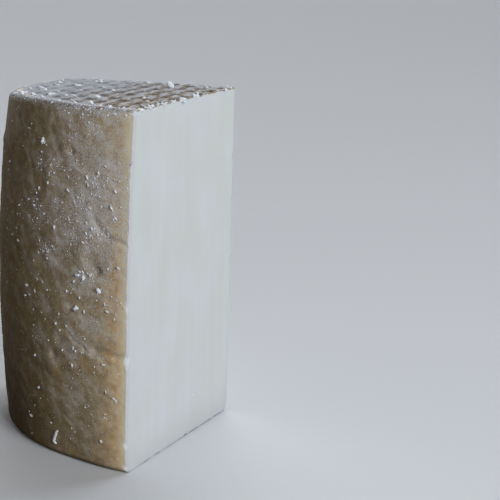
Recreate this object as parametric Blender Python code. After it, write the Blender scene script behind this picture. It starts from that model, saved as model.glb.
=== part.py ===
"""A quarter of a small wheel of sheep's milk cheese, as one closed solid.

The wheel was cut straight down through its middle, twice. The wedge stands on the wheel's
base: its nose, which was the wheel's axis, is the upright corner at +X +Y. One cut face looks
along +X and the other along +Y, and the rind bulges towards -X and -Y. The top of the wheel
keeps the print of the woven mat that it drained on, and its side the dents and creases that
it got in the mould and on the shelf.
"""

import math

import bmesh
import bpy
from mathutils import Vector
from mathutils.geometry import delaunay_2d_cdt

MM = 0.001

# The wheel, in metres: a low barrel, a little wider at its foot than at its top.
HEIGHT = 120 * MM
TOP_RADIUS = 80.6 * MM
WAIST_RADIUS = 84.2 * MM
BASE_RADIUS = 81.2 * MM
TOP_ROUND = 2.6 * MM
BASE_ROUND = 2.2 * MM
CUT_ANGLE = math.radians(90)

# The top sinks towards its rim on the side of the back cut, and the foot spreads a little
# where the front cut meets the rind.
TOP_SAG = 2.0 * MM
SAG_WIDTH = 12 * MM
SAG_START = math.radians(25)
SAG_FULL = math.radians(75)
FOOT_SPREAD = 1.7 * MM
SPREAD_LENGTH = 26 * MM
SPREAD_HEIGHT = 40 * MM

# The mat's print on the top: rows of long bumps side by side, each row half a bump along from
# its neighbours. The cut runs along a furrow, a quarter of a row from its lowest line.
ROW_PITCH = 6.45 * MM
BUMP_LENGTH = 10.3 * MM
PRINT_DEPTH = 0.9 * MM
BUMP_NECK = 0.6
FIRST_CREST = 0.75
PRINT_MARGIN = 5 * MM

# How finely each surface is divided.
STEPS_PER_ROW = 4
STEPS_PER_BUMP = 4
RIND_COLUMNS = 48
RIND_ROWS = 38
ROUND_STEPS = 3
CUT_STEP = 5 * MM
BASE_STEP = 8 * MM

# The rind's slow unevenness, and the shallow hollow that a knife leaves in a cut face.
SWELL = 0.35 * MM
CUT_HOLLOW = 0.25 * MM

# Pits in the rind: distance round the side from the front edge, height, radius and depth.
PITS = (
    (12 * MM, 67 * MM, 2.4 * MM, 1.5 * MM),
    (31.5 * MM, 36 * MM, 2.8 * MM, 1.5 * MM),
    (25 * MM, 105 * MM, 2.0 * MM, 1.0 * MM),
    (52 * MM, 85 * MM, 2.4 * MM, 1.0 * MM),
    (61 * MM, 113 * MM, 3.0 * MM, 1.0 * MM),
    (88 * MM, 52 * MM, 2.8 * MM, 1.3 * MM),
    (108 * MM, 88 * MM, 2.6 * MM, 1.2 * MM),
    (119 * MM, 34 * MM, 2.4 * MM, 1.2 * MM),
)

# Creases in the rind: both ends as distance round the side and height, then width and depth.
CREASES = (
    (39 * MM, 115 * MM, 29 * MM, 101 * MM, 1.8 * MM, 0.9 * MM),
    (15 * MM, 86 * MM, 8 * MM, 78 * MM, 1.6 * MM, 0.7 * MM),
    (12 * MM, 41 * MM, 2 * MM, 39 * MM, 1.6 * MM, 0.7 * MM),
    (64 * MM, 78 * MM, 47 * MM, 84 * MM, 2.0 * MM, 0.6 * MM),
    (80 * MM, 24 * MM, 70 * MM, 14 * MM, 2.2 * MM, 0.9 * MM),
    (112 * MM, 66 * MM, 98 * MM, 71 * MM, 2.0 * MM, 0.8 * MM),
)

# Low swellings beside them: distance round the side, height, radius and rise.
LUMPS = (
    (15 * MM, 78 * MM, 4.5 * MM, 0.6 * MM),
    (43 * MM, 66 * MM, 4.0 * MM, 0.6 * MM),
    (32 * MM, 31 * MM, 4.0 * MM, 0.6 * MM),
    (95 * MM, 100 * MM, 6.0 * MM, 0.6 * MM),
)


def smooth(value):
    """Ease from 0 to 1 without a corner at either end."""
    value = min(max(value, 0.0), 1.0)
    return value * value * (3 - 2 * value)


def hump(distance, radius):
    """A soft bump of height 1 that ends at 1.6 times its radius."""
    return 1 - smooth(distance / (1.6 * radius))


def barrel_radius(height):
    """Radius of the wheel's side: a parabola through the base, the waist and the top."""
    up = height / HEIGHT
    base = BASE_RADIUS * (1 - up) * (1 - 2 * up)
    waist = WAIST_RADIUS * 4 * up * (1 - up)
    top = TOP_RADIUS * up * (2 * up - 1)
    return base + waist + top


def side_profile():
    """(radius, height) pairs up the side, from the edge of the flat base to the top's edge."""
    points = []
    for step in range(ROUND_STEPS):
        turn = math.pi / 2 * step / ROUND_STEPS
        radius = barrel_radius(BASE_ROUND) - BASE_ROUND * (1 - math.sin(turn))
        points.append((radius, BASE_ROUND * (1 - math.cos(turn))))
    straight = HEIGHT - BASE_ROUND - TOP_ROUND
    for row in range(RIND_ROWS + 1):
        height = BASE_ROUND + straight * row / RIND_ROWS
        points.append((barrel_radius(height), height))
    for step in range(1, ROUND_STEPS + 1):
        turn = math.pi / 2 * step / ROUND_STEPS
        radius = barrel_radius(HEIGHT - TOP_ROUND) - TOP_ROUND * (1 - math.cos(turn))
        points.append((radius, HEIGHT - TOP_ROUND * (1 - math.sin(turn))))
    return points


def foot_spread(along, height):
    """How far the foot of the front edge stands out from the barrel."""
    return FOOT_SPREAD * smooth(1 - along / SPREAD_LENGTH) * smooth(1 - height / SPREAD_HEIGHT)


def distance_to_crease(along, height, crease):
    """Distance on the rind from a point to a crease's line."""
    along_1, height_1, along_2, height_2 = crease[:4]
    start = Vector((along_1, height_1))
    run = Vector((along_2, height_2)) - start
    offset = Vector((along, height)) - start
    share = min(max(offset.dot(run) / run.length_squared, 0.0), 1.0)
    return (offset - run * share).length


def rind_relief(along, height):
    """How far the rind stands out from the true barrel, or in where it is below zero."""
    slow = math.sin(along / (19 * MM) + 0.6) * math.sin(height / (23 * MM) + 1.1)
    quick = math.sin(along / (7.5 * MM) + height / (11 * MM)) * math.cos(height / (8 * MM))
    relief = SWELL * (0.6 * slow + 0.4 * quick)
    for pit_along, pit_height, radius, depth in PITS:
        distance = math.hypot(along - pit_along, height - pit_height)
        relief -= depth * hump(distance, radius)
    for crease in CREASES:
        width, depth = crease[4:]
        relief -= depth * hump(distance_to_crease(along, height, crease), width)
    for lump_along, lump_height, radius, rise in LUMPS:
        distance = math.hypot(along - lump_along, height - lump_height)
        relief += rise * hump(distance, radius)
    return relief


def sag(x, y):
    """How far the top lies below the wheel's height at a place from the axis."""
    turn = math.atan2(-x, -y)
    side_share = smooth((turn - SAG_START) / (SAG_FULL - SAG_START))
    rim = TOP_RADIUS - TOP_ROUND
    rim_share = smooth((math.hypot(x, y) - rim + SAG_WIDTH) / SAG_WIDTH)
    return TOP_SAG * side_share * rim_share


def top_height(x, y):
    """Height of the printed top at a place from the axis."""
    across = -x / ROW_PITCH - FIRST_CREST
    row = round(across)
    crest = math.cos(math.pi * (across - row)) ** 2
    along = -y / BUMP_LENGTH + 0.5 * (row % 2)
    bump = BUMP_NECK + (1 - BUMP_NECK) * math.cos(math.pi * along) ** 2
    to_rim = TOP_RADIUS - TOP_ROUND - math.hypot(x, y)
    strength = smooth(to_rim / PRINT_MARGIN)
    return HEIGHT - sag(x, y) - PRINT_DEPTH * strength * (1 - crest * bump)


def make_rind(mesh, slot):
    """The barrel's side between the two cuts. Returns its columns of points, base to top."""
    profile = side_profile()
    columns = []
    for index in range(RIND_COLUMNS + 1):
        angle = CUT_ANGLE * index / RIND_COLUMNS
        lowered = 1 - sag(-TOP_RADIUS * math.sin(angle), -TOP_RADIUS * math.cos(angle)) / HEIGHT
        column = []
        for radius, height in profile:
            to_rounding = min(height, HEIGHT - height)
            strength = smooth(to_rounding / TOP_ROUND)
            along = angle * WAIST_RADIUS
            out = radius + foot_spread(along, height) + strength * rind_relief(along, height)
            place = (-out * math.sin(angle), -out * math.cos(angle), height * lowered)
            column.append(mesh.verts.new(place))
        columns.append(column)
    for left, right in zip(columns, columns[1:]):
        for low in range(len(profile) - 1):
            ring = (left[low], right[low], right[low + 1], left[low + 1])
            mesh.faces.new(ring).material_index = slot
    return columns


def straight_edge(mesh, start, end, count):
    """Points along a straight edge, with new ones between two that exist already."""
    edge = [start]
    for step in range(1, count):
        edge.append(mesh.verts.new(start.co.lerp(end.co, step / count)))
    return edge + [end]


def printed_edge(mesh, nose, rim, pitch):
    """The top's edge on a cut face, with its points on the print's own lines."""
    reach = (rim.co - nose.co).xy.length
    toward = (rim.co - nose.co).xy / reach
    edge = [nose]
    step = 1
    while step * pitch < reach - 0.4 * pitch:
        spot = toward * (step * pitch)
        edge.append(mesh.verts.new((spot.x, spot.y, top_height(*spot))))
        step += 1
    return edge + [rim]


def grid_inside(outline, step_u, step_v, margin):
    """Points of a regular grid, counted from zero, that lie well inside a flat outline."""
    low_u = min(point.x for point in outline)
    low_v = min(point.y for point in outline)
    high_u = max(point.x for point in outline)
    high_v = max(point.y for point in outline)
    points = []
    for i in range(round(low_u / step_u), round(high_u / step_u) + 1):
        for j in range(round(low_v / step_v), round(high_v / step_v) + 1):
            point = Vector((i * step_u, j * step_v))
            if clearance(point, outline) > margin:
                points.append(point)
    return points


def clearance(point, outline):
    """Distance from a point to an outline, and below zero for a point outside it."""
    inside = False
    nearest = math.inf
    for start, end in zip(outline, outline[1:] + outline[:1]):
        run = end - start
        share = min(max((point - start).dot(run) / run.length_squared, 0.0), 1.0)
        nearest = min(nearest, (point - start - run * share).length)
        if (start.y > point.y) != (end.y > point.y):
            crossing = start.x + (point.y - start.y) * run.x / run.y
            inside ^= point.x < crossing
    return nearest if inside else -nearest


def fill_patch(mesh, loop, flatten, place, steps, slot):
    """Cover a closed loop of points with triangles, over a regular grid of points inside it.

    flatten gives a point's two coordinates in the patch, and place turns two such numbers
    into a point on the surface.
    """
    outline = [Vector(flatten(vert.co)) for vert in loop]
    inner = grid_inside(outline, steps[0], steps[1], 0.4 * min(steps))
    verts = loop + [mesh.verts.new(place(*point)) for point in inner]
    sides = [(index, (index + 1) % len(loop)) for index in range(len(loop))]
    inside_only = 1
    found = delaunay_2d_cdt(outline + inner, sides, [], inside_only, 1e-9)
    triangles, sources = found[2], found[3]
    for triangle in triangles:
        corners = [verts[sources[index][0]] for index in triangle]
        mesh.faces.new(corners).material_index = slot


def knife_hollow(along, height):
    """Depth of a cut face below its true plane: nothing at its edges."""
    from_edges = smooth(along / (12 * MM)) * smooth((BASE_RADIUS - along) / (12 * MM))
    from_ends = smooth(height / (15 * MM)) * smooth((HEIGHT - height) / (15 * MM))
    ripple = 0.7 + 0.3 * math.sin(along / (9 * MM)) * math.cos(height / (21 * MM))
    return CUT_HOLLOW * from_edges * from_ends * ripple


def make_wedge_mesh(rind_slot, paste_slot):
    """The whole solid: rind, base, printed top and the two cut faces, sharing their edges."""
    mesh = bmesh.new()
    columns = make_rind(mesh, rind_slot)
    front, back = columns[0], columns[-1]

    nose_foot = mesh.verts.new((0, 0, 0))
    nose_top = mesh.verts.new((0, 0, top_height(0, 0)))
    nose = straight_edge(mesh, nose_foot, nose_top, round(HEIGHT / CUT_STEP))
    base_count = round(BASE_RADIUS / CUT_STEP)
    base_front = straight_edge(mesh, nose_foot, front[0], base_count)
    base_back = straight_edge(mesh, nose_foot, back[0], base_count)
    step_x = ROW_PITCH / STEPS_PER_ROW
    step_y = BUMP_LENGTH / STEPS_PER_BUMP
    top_front = printed_edge(mesh, nose_top, front[-1], step_y)
    top_back = printed_edge(mesh, nose_top, back[-1], step_x)

    base_rim = [column[0] for column in columns]
    base_loop = base_front + base_rim[1:] + base_back[-2:0:-1]
    fill_patch(
        mesh, base_loop,
        flatten=lambda co: (co.x, co.y),
        place=lambda x, y: (x, y, 0.0),
        steps=(BASE_STEP, BASE_STEP), slot=rind_slot)

    top_rim = [column[-1] for column in columns]
    top_loop = top_front + top_rim[1:] + top_back[-2:0:-1]
    fill_patch(
        mesh, top_loop,
        flatten=lambda co: (co.x, co.y),
        place=lambda x, y: (x, y, top_height(x, y)),
        steps=(step_x, step_y), slot=rind_slot)

    front_loop = base_front + front[1:] + top_front[-2::-1] + nose[-2:0:-1]
    fill_patch(
        mesh, front_loop,
        flatten=lambda co: (-co.y, co.z),
        place=lambda along, height: (-knife_hollow(along, height), -along, height),
        steps=(CUT_STEP, CUT_STEP), slot=paste_slot)

    back_loop = base_back + back[1:] + top_back[-2::-1] + nose[-2:0:-1]
    fill_patch(
        mesh, back_loop,
        flatten=lambda co: (-co.x, co.z),
        place=lambda along, height: (-along, -knife_hollow(along, height), height),
        steps=(CUT_STEP, CUT_STEP), slot=paste_slot)

    bmesh.ops.recalc_face_normals(mesh, faces=mesh.faces)
    return mesh


def centre_on_base(mesh):
    """Stand the solid with the middle of its box over the origin and its base at height 0."""
    middle = Vector()
    for axis in (0, 1):
        values = [vert.co[axis] for vert in mesh.verts]
        middle[axis] = (min(values) + max(values)) / 2
    bmesh.ops.translate(mesh, verts=mesh.verts, vec=-middle)


def matt_material(name, colour, roughness):
    """An opaque, unmetallic surface."""
    material = bpy.data.materials.new(name)
    material.use_nodes = True
    shader = material.node_tree.nodes["Principled BSDF"]
    shader.inputs["Base Color"].default_value = (*colour, 1)
    shader.inputs["Roughness"].default_value = roughness
    shader.inputs["Metallic"].default_value = 0
    return material


for existing in list(bpy.data.objects):
    bpy.data.objects.remove(existing)

wedge_mesh = make_wedge_mesh(rind_slot=0, paste_slot=1)
centre_on_base(wedge_mesh)
wedge_data = bpy.data.meshes.new("cheese_wedge")
wedge_mesh.to_mesh(wedge_data)
wedge_mesh.free()
wedge_data.materials.append(matt_material("rind", (0.20, 0.17, 0.13), 0.5))
wedge_data.materials.append(matt_material("paste", (0.62, 0.60, 0.52), 0.45))
wedge_data.shade_smooth()
wedge_data.set_sharp_from_angle(angle=math.radians(35))
wedge = bpy.data.objects.new("cheese_wedge", wedge_data)
bpy.context.scene.collection.objects.link(wedge)
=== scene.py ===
import math

import bmesh
import bpy
import numpy as np
from mathutils import Euler, Matrix, Vector, noise


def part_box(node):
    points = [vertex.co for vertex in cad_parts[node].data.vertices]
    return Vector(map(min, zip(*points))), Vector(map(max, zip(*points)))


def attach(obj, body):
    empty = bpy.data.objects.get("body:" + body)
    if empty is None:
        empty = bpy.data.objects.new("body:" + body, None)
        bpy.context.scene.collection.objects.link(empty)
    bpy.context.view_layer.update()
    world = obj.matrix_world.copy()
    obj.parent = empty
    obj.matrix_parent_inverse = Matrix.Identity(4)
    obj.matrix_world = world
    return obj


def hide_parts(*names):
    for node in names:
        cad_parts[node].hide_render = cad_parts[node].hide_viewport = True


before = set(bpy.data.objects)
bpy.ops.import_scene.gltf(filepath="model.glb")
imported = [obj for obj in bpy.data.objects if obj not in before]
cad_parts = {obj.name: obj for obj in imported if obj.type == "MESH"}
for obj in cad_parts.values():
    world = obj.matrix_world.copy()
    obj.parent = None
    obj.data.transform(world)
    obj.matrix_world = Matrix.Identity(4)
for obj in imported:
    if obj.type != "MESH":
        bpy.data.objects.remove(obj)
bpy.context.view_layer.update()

# ------------------------------------------------------------
# The wheel's form. A small pecorino is curd of sheep's milk, pressed in a round mould and
# drained on a woven mat, so it is a low barrel with soft rims and a basket print on top.
# A knife has quartered it, straight down through the middle, from rim to rim.
MM = 0.001
HEIGHT = 120 * MM
TOP_RADIUS = 80.6 * MM
WAIST_RADIUS = 84.2 * MM
BASE_RADIUS = 81.2 * MM
TOP_ROUND = 2.6 * MM
BASE_ROUND = 2.2 * MM
TOP_SAG = 2.0 * MM
SAG_WIDTH = 12 * MM
DOME = 1.1 * MM
SAG_START = math.radians(25)
SAG_FULL = math.radians(75)
FOOT_SPREAD = 1.7 * MM
SPREAD_LENGTH = 26 * MM
SPREAD_HEIGHT = 40 * MM

# How close the mesh's rows lie: finest at the edges of the cuts and in the rounded rims.
FINE_GAP = 0.13 * MM
WIDE_GAP = 0.62 * MM
GAP_GROWTH = 1.15
ROUND_ROWS = 11


def smooth(value):
    """Ease from 0 to 1 without a corner at either end."""
    value = np.clip(value, 0.0, 1.0)
    return value * value * (3 - 2 * value)


def barrel_radius(height):
    """Radius of the wheel's side: a parabola through the base, the waist and the top."""
    up = height / HEIGHT
    base = BASE_RADIUS * (1 - up) * (1 - 2 * up)
    waist = WAIST_RADIUS * 4 * up * (1 - up)
    top = TOP_RADIUS * up * (2 * up - 1)
    return base + waist + top


def foot_spread(along, height):
    """How far the foot of the front edge stands out from the barrel."""
    return FOOT_SPREAD * smooth(1 - along / SPREAD_LENGTH) * smooth(1 - height / SPREAD_HEIGHT)


def sag(x, y):
    """How far the top lies below the wheel's height at a place from the axis."""
    turn = np.arctan2(-x, -y)
    side_share = smooth((turn - SAG_START) / (SAG_FULL - SAG_START))
    rim = TOP_RADIUS - TOP_ROUND
    rim_share = smooth((np.hypot(x, y) - rim + SAG_WIDTH) / SAG_WIDTH)
    return TOP_SAG * side_share * rim_share


def dome(x, y):
    """How far the middle of the top stands above its rim."""
    return DOME * np.maximum(1 - (x * x + y * y) / (TOP_RADIUS - TOP_ROUND) ** 2, 0)


def side_profile():
    """Radii and heights up the side, from the edge of the flat base to the top's edge."""
    turn = np.linspace(0, math.pi / 2, ROUND_ROWS, endpoint=False)
    base_radii = barrel_radius(BASE_ROUND) - BASE_ROUND * (1 - np.sin(turn))
    base_heights = BASE_ROUND * (1 - np.cos(turn))
    plain = HEIGHT - TOP_ROUND - BASE_ROUND
    side_heights = np.linspace(BASE_ROUND, HEIGHT - TOP_ROUND, round(plain / WIDE_GAP) + 1)
    turn = np.linspace(0, math.pi / 2, ROUND_ROWS + 1)[1:]
    top_radii = barrel_radius(HEIGHT - TOP_ROUND) - TOP_ROUND * (1 - np.cos(turn))
    top_heights = HEIGHT - TOP_ROUND * (1 - np.sin(turn))
    radii = np.concatenate([base_radii, barrel_radius(side_heights), top_radii])
    heights = np.concatenate([base_heights, side_heights, top_heights])
    return radii, heights


def shares_along(length):
    """Shares from 0 to 1 along a length, close together at both ends, where the cuts are."""
    gaps = [FINE_GAP]
    while gaps[-1] * GAP_GROWTH < WIDE_GAP:
        gaps.append(gaps[-1] * GAP_GROWTH)
    middle = length - 2 * sum(gaps)
    count = math.ceil(middle / WIDE_GAP)
    gaps = gaps + [middle / count] * count + gaps[::-1]
    return np.concatenate([[0.0], np.cumsum(gaps) / length])


radii, heights = side_profile()
shares = shares_along(radii[-1])

# ------------------------------------------------------------
# The rind: the wheel's own skin, washed and oiled while it ripened, thin, brown and waxy.
# The mould, the shelf and hands left it pits, creases and low lumps, and the mats their print
# on its top and base: rows of flat strands, each row half a strand ahead of the next.
EIGHTH = math.radians(45)
SWELL = 0.35 * MM
# Pits in mm: along the rind from the front cut, height, radius and depth.
PITS = (
    (12, 67, 1.7, 0.8), (31.5, 36, 1.7, 0.7), (25, 105, 1.4, 0.5), (52, 85, 1.8, 0.5),
    (61, 113, 2.4, 0.6), (11, 61, 1.0, 0.45), (19, 33, 1.1, 0.35), (88, 52, 2.2, 0.8),
    (108, 88, 2.0, 0.7), (119, 34, 1.9, 0.7),
)
# Lumps in mm: along, height, radius and rise.
LUMPS = ((15, 78, 4.0, 0.36), (43, 66, 3.2, 0.42), (32, 31, 3.4, 0.42), (95, 100, 6.0, 0.36))
# Creases and wrinkles in mm: along and height of both ends, then width and depth.
CREASES = (
    (39, 115, 29, 101, 1.6, 0.22), (15, 86, 8, 78, 1.0, 0.18), (12, 41, 2, 39, 1.5, 0.50),
    (64, 78, 47, 84, 2.0, 0.30), (80, 24, 70, 14, 1.8, 0.45), (112, 66, 98, 71, 1.8, 0.40),
)
WRINKLES = (
    (14, 84, 11, 79.5, 0.6, 0.20), (11.5, 82, 8.5, 78, 0.5, 0.15),
    (9.8, 80.5, 7, 77.5, 0.5, 0.20), (7, 78.6, 0.3, 76.9, 0.6, 0.45),
    (24, 44, 17, 40.5, 0.8, 0.30), (17, 40, 10, 37.8, 0.7, 0.35),
    (10, 37.6, 6.5, 37, 0.6, 0.30), (29, 36, 14, 30, 0.6, 0.16),
    (20, 31, 1, 23, 0.5, 0.15), (26, 27, 8, 20, 0.5, 0.12),
    (58.5, 69, 52, 68, 0.7, 0.30), (64, 84.5, 58, 84, 1.0, 0.35),
    (46.5, 87, 41, 88.5, 0.8, 0.25), (27, 15.5, 23.5, 13.5, 0.7, 0.30),
    (36, 13, 33, 10.5, 0.6, 0.20), (20.5, 61, 17, 57, 0.5, 0.15),
    (50, 102, 44, 95, 0.8, 0.20), (70, 52, 60, 47, 0.8, 0.25),
    (76, 96, 72, 88, 0.9, 0.30), (84, 74, 77, 70, 0.8, 0.25),
    (102, 40, 93, 34, 0.9, 0.30), (116, 101, 109, 97, 0.8, 0.30),
    (124, 60, 118, 52, 0.8, 0.25), (96, 18, 88, 15, 0.9, 0.25),
)
# Swellings in mm: along, height, half length, half height and rise.
SWELLINGS = (
    (35.5, 96.5, 2.0, 4.5, 0.45), (38, 113.5, 2.0, 3.0, 0.40), (28, 105, 2.5, 2.0, 0.35),
    (16, 87, 2.2, 3.5, 0.40), (19, 73, 2.6, 6.5, 0.50), (52, 80, 5.5, 2.0, 0.30),
    (14.5, 38.8, 1.8, 1.2, 0.40), (22.5, 33.5, 2.0, 1.5, 0.30), (18, 33.5, 1.2, 1.5, 0.25),
    (53, 26.5, 3.5, 3.0, 0.35), (47, 12, 2.5, 1.8, 0.30), (54, 12, 2.5, 1.8, 0.30),
    (9, 57, 2.5, 1.6, 0.25), (60.5, 83.5, 2.5, 1.2, 0.35), (25, 50, 6.0, 3.0, 0.25),
    (74, 62, 3.0, 6.0, 0.40), (86, 104, 4.0, 2.5, 0.35), (92, 68, 2.5, 5.0, 0.40),
    (104, 24, 4.0, 3.0, 0.35), (114, 78, 3.0, 4.5, 0.40), (122, 96, 2.5, 3.0, 0.30),
)
# Depth and size of the skin's own unevenness: soft lumps, folds that slant down it, lines
# drawn round the wheel, lines combed down one patch of it, and the grain.
SOFT_LUMPS = (0.17 * MM, 8 * MM)
SLANTING_FOLDS = (0.10 * MM, 5 * MM)
DRAWN_LINES = (0.05 * MM, 2.4 * MM)
COMBED_LINES = (0.15 * MM, 1.3 * MM)
COMBED_AT = (17 * MM, 72 * MM)
COMBED_RADIUS = 17 * MM
GRAIN = (0.045 * MM, 1.7 * MM)
# The mat's print: the distance from row to row, the bumps along a row and how deep it went.
ROW_PITCH = 6.45 * MM
BUMP_LENGTH = 10.3 * MM
PRINT_DEPTH = 0.9 * MM
BASE_PRINT_DEPTH = 0.35 * MM
BUMP_NECK = 0.88
STRAND_LEAN = 0.12
FIRST_CREST = 0.75
PRINT_MARGIN = 5 * MM
RUBBED_FROM = 26 * MM
RUBBED_WIDTH = 32 * MM
RUBBED_SHARE = 0.58
FRONT_PRESSED = 3.5 * MM
PRESSED_SHARE = 0.60


def eased(value, start, width):
    """Eases from 0 at a start to 1 a width further on, both in mm."""
    return smooth((value - start * MM) / (width * MM))


def hump(distance, radius):
    """A soft bump of height 1 that ends at 1.6 times its radius."""
    return 1 - smooth(distance / (1.6 * radius))


def flat(u, v):
    """Points in a plane, for a pattern that lies on a face."""
    return np.stack([u, v, 0 * u], -1)


def noise_at(points, size, octaves=3, seed=0.0):
    """Fractal noise from about -1 to 1 at each point, with lumps of the given size."""
    shift = Vector((seed, 1.7 * seed, -0.6 * seed))
    scaled = np.asarray(points, float).reshape(-1, 3) / size
    values = [noise.fractal(Vector(p) + shift, 0.9, 2.1, octaves) for p in scaled.tolist()]
    return np.array(values).reshape(np.shape(points)[:-1])


def distance_to_line(along, height, line):
    """Distance on the rind from each point to a line between two places on it."""
    along_1, height_1, along_2, height_2 = line
    run = (along_2 - along_1, height_2 - height_1)
    offset = (along - along_1, height - height_1)
    share = (offset[0] * run[0] + offset[1] * run[1]) / (run[0] ** 2 + run[1] ** 2)
    share = np.clip(share, 0.0, 1.0)
    return np.hypot(offset[0] - share * run[0], offset[1] - share * run[1])


def rind_relief(along, height):
    """How far the rind stands out from the true barrel, and in where it is below zero."""
    slow = np.sin(along / (19 * MM) + 0.6) * np.sin(height / (23 * MM) + 1.1)
    quick = np.sin(along / (7.5 * MM) + height / (11 * MM)) * np.cos(height / (8 * MM))
    relief = SWELL * (0.6 * slow + 0.4 * quick)
    for sign, spots in ((-1, PITS), (1, LUMPS)):
        for spot_along, spot_height, radius, depth in np.array(spots) * MM:
            distance = np.hypot(along - spot_along, height - spot_height)
            relief = relief + sign * depth * hump(distance, radius)
    for *line, width, depth in np.array(CREASES) * MM:
        relief = relief - depth * hump(distance_to_line(along, height, line), width)
    return relief


def fine_relief(along, height):
    """Small unevenness of the skin: named wrinkles and swellings, soft lumps and a grain."""
    on_rind = flat(along, height)
    drift = 0.8 * MM * noise_at(on_rind, 4 * MM, 2, 2.6)
    relief = 0 * along
    for *line, width, depth in np.array(WRINKLES) * MM:
        distance = distance_to_line(along + drift, height - drift, line)
        relief = relief - depth * hump(distance, width)
    for at, up, half_length, half_height, rise in np.array(SWELLINGS) * MM:
        share = np.hypot((along + drift - at) / half_length, (height + drift - up) / half_height)
        relief = relief + rise * hump(share, 1)
    lumps = SOFT_LUMPS[0] * noise_at(on_rind, SOFT_LUMPS[1], 2, 3.1)
    slant = flat(0.65 * along - height, 0.22 * (along + 0.65 * height))
    folds = -SLANTING_FOLDS[0] * np.abs(noise_at(slant, SLANTING_FOLDS[1], 2, 8.4))
    drawn = DRAWN_LINES[0] * noise_at(flat(0.3 * along, height), DRAWN_LINES[1], 2, 11.5)
    combed = -COMBED_LINES[0] * np.abs(noise_at(slant, COMBED_LINES[1], 2, 3.9))
    from_combed = np.hypot((along - COMBED_AT[0]) / 0.9, height - COMBED_AT[1])
    combed = combed * hump(from_combed, COMBED_RADIUS)
    grain = GRAIN[0] * noise_at(on_rind, GRAIN[1], 2, 5.7)
    far_side = 1 + 0.7 * eased(along, 84, 16)
    relief = far_side * (0.85 * relief + lumps + folds)
    return relief + drawn * eased(along, 35, 30) + combed + grain


def mat_print(x, y, depth):
    """Depth of the mat's print at a place from the axis."""
    spot = flat(x, y)
    sway = 0.10 * noise_at(spot, 22 * MM, 2, 1.3) + 0.07 * noise_at(spot, 6 * MM, 2, 4.9)
    across = -x / ROW_PITCH - FIRST_CREST + sway
    row = np.round(across)
    along = -y / BUMP_LENGTH + 0.5 * (row % 2) + 0.14 * noise_at(spot, 15 * MM, 2, 6.1)
    twist = np.sin(2 * math.pi * along) - 0.45 * np.sin(4 * math.pi * along)
    leaned = across + STRAND_LEAN * twist - row
    crest = np.abs(np.cos(math.pi * np.clip(leaned, -0.5, 0.5))) ** 0.8
    strands = 0.15 * np.cos(2 * math.pi * 3.6 * leaned + 2.0 * noise_at(spot, 5 * MM, 2, 3.3))
    bump = BUMP_NECK + (1 - BUMP_NECK) * np.abs(np.cos(math.pi * along)) ** 0.7
    worn = 0.14 * noise_at(spot, 3.5 * MM, 3, 2.2)
    to_rim = TOP_RADIUS - TOP_ROUND - np.hypot(x, y)
    strength = smooth(to_rim / PRINT_MARGIN)
    return depth * strength * np.clip(1 - crest * bump + strands + worn, 0.02, 1.2)


def disc_grid(edge_radius):
    """Places over the quarter disc, from the front cut to the back cut, in square order."""
    toward_front, toward_back = np.meshgrid(shares, shares, indexing="ij")
    ring = np.maximum(toward_front, toward_back)
    lesser = np.minimum(toward_front, toward_back) / np.maximum(ring, 1e-9)
    turn = np.where(toward_front >= toward_back, lesser, 2 - lesser) * EIGHTH
    reach = ring * edge_radius(turn)
    return -reach * np.sin(turn), -reach * np.cos(turn)


turns = np.concatenate([shares, 2 - shares[-2::-1]]) * EIGHTH
ROWS, COLUMNS = len(radii), len(turns)
along_grid = np.broadcast_to(turns * WAIST_RADIUS, (ROWS, COLUMNS))
height_grid = np.broadcast_to(heights[:, None], (ROWS, COLUMNS))
to_rounding = np.minimum(height_grid, HEIGHT - height_grid)
fade = smooth(to_rounding / TOP_ROUND)
fine = fine_relief(along_grid, height_grid) * fade
relief = rind_relief(along_grid, height_grid) * fade + fine
out = radii[:, None] + foot_spread(along_grid, height_grid) + relief
lowered = 1 - sag(-TOP_RADIUS * np.sin(turns), -TOP_RADIUS * np.cos(turns)) / HEIGHT
side = np.stack([-out * np.sin(turns), -out * np.cos(turns), height_grid * lowered], -1)

top_x, top_y = disc_grid(lambda turn: radii[-1] + 0 * turn)
rubbed = smooth((-top_x - RUBBED_FROM) / RUBBED_WIDTH)
top_print = mat_print(top_x, top_y, PRINT_DEPTH) * (1 - RUBBED_SHARE * rubbed)
pressed = 1 - smooth(-top_x / FRONT_PRESSED)
top_print *= 1 - PRESSED_SHARE * pressed
top = np.stack([
    top_x, top_y, HEIGHT + dome(top_x, top_y) - sag(top_x, top_y) - top_print], -1)
base_x, base_y = disc_grid(lambda turn: radii[0] + foot_spread(turn * WAIST_RADIUS, 0 * turn))
base_print = mat_print(base_x, base_y, BASE_PRINT_DEPTH)
base = np.stack([base_x, base_y, base_print], -1)


def linear(hex_colour):
    """An sRGB hex colour as linear RGBA."""
    values = [int(hex_colour[i : i + 2], 16) / 255 for i in (1, 3, 5)]
    return (*[v / 12.92 if v <= 0.04045 else ((v + 0.055) / 1.055) ** 2.4 for v in values], 1)


def new_material(name):
    """A material with a Principled shader. Returns it, its node tree and the shader."""
    material = bpy.data.materials.new(name)
    material.use_nodes = True
    tree = material.node_tree
    return material, tree, tree.nodes["Principled BSDF"]


def set_inputs(tree, node, inputs):
    """Gives a node's inputs, by name or number, their values, hex colours or links."""
    for key, value in inputs.items():
        if isinstance(value, bpy.types.NodeSocket):
            tree.links.new(value, node.inputs[key])
        else:
            value = linear(value) if isinstance(value, str) else value
            node.inputs[key].default_value = value


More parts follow.
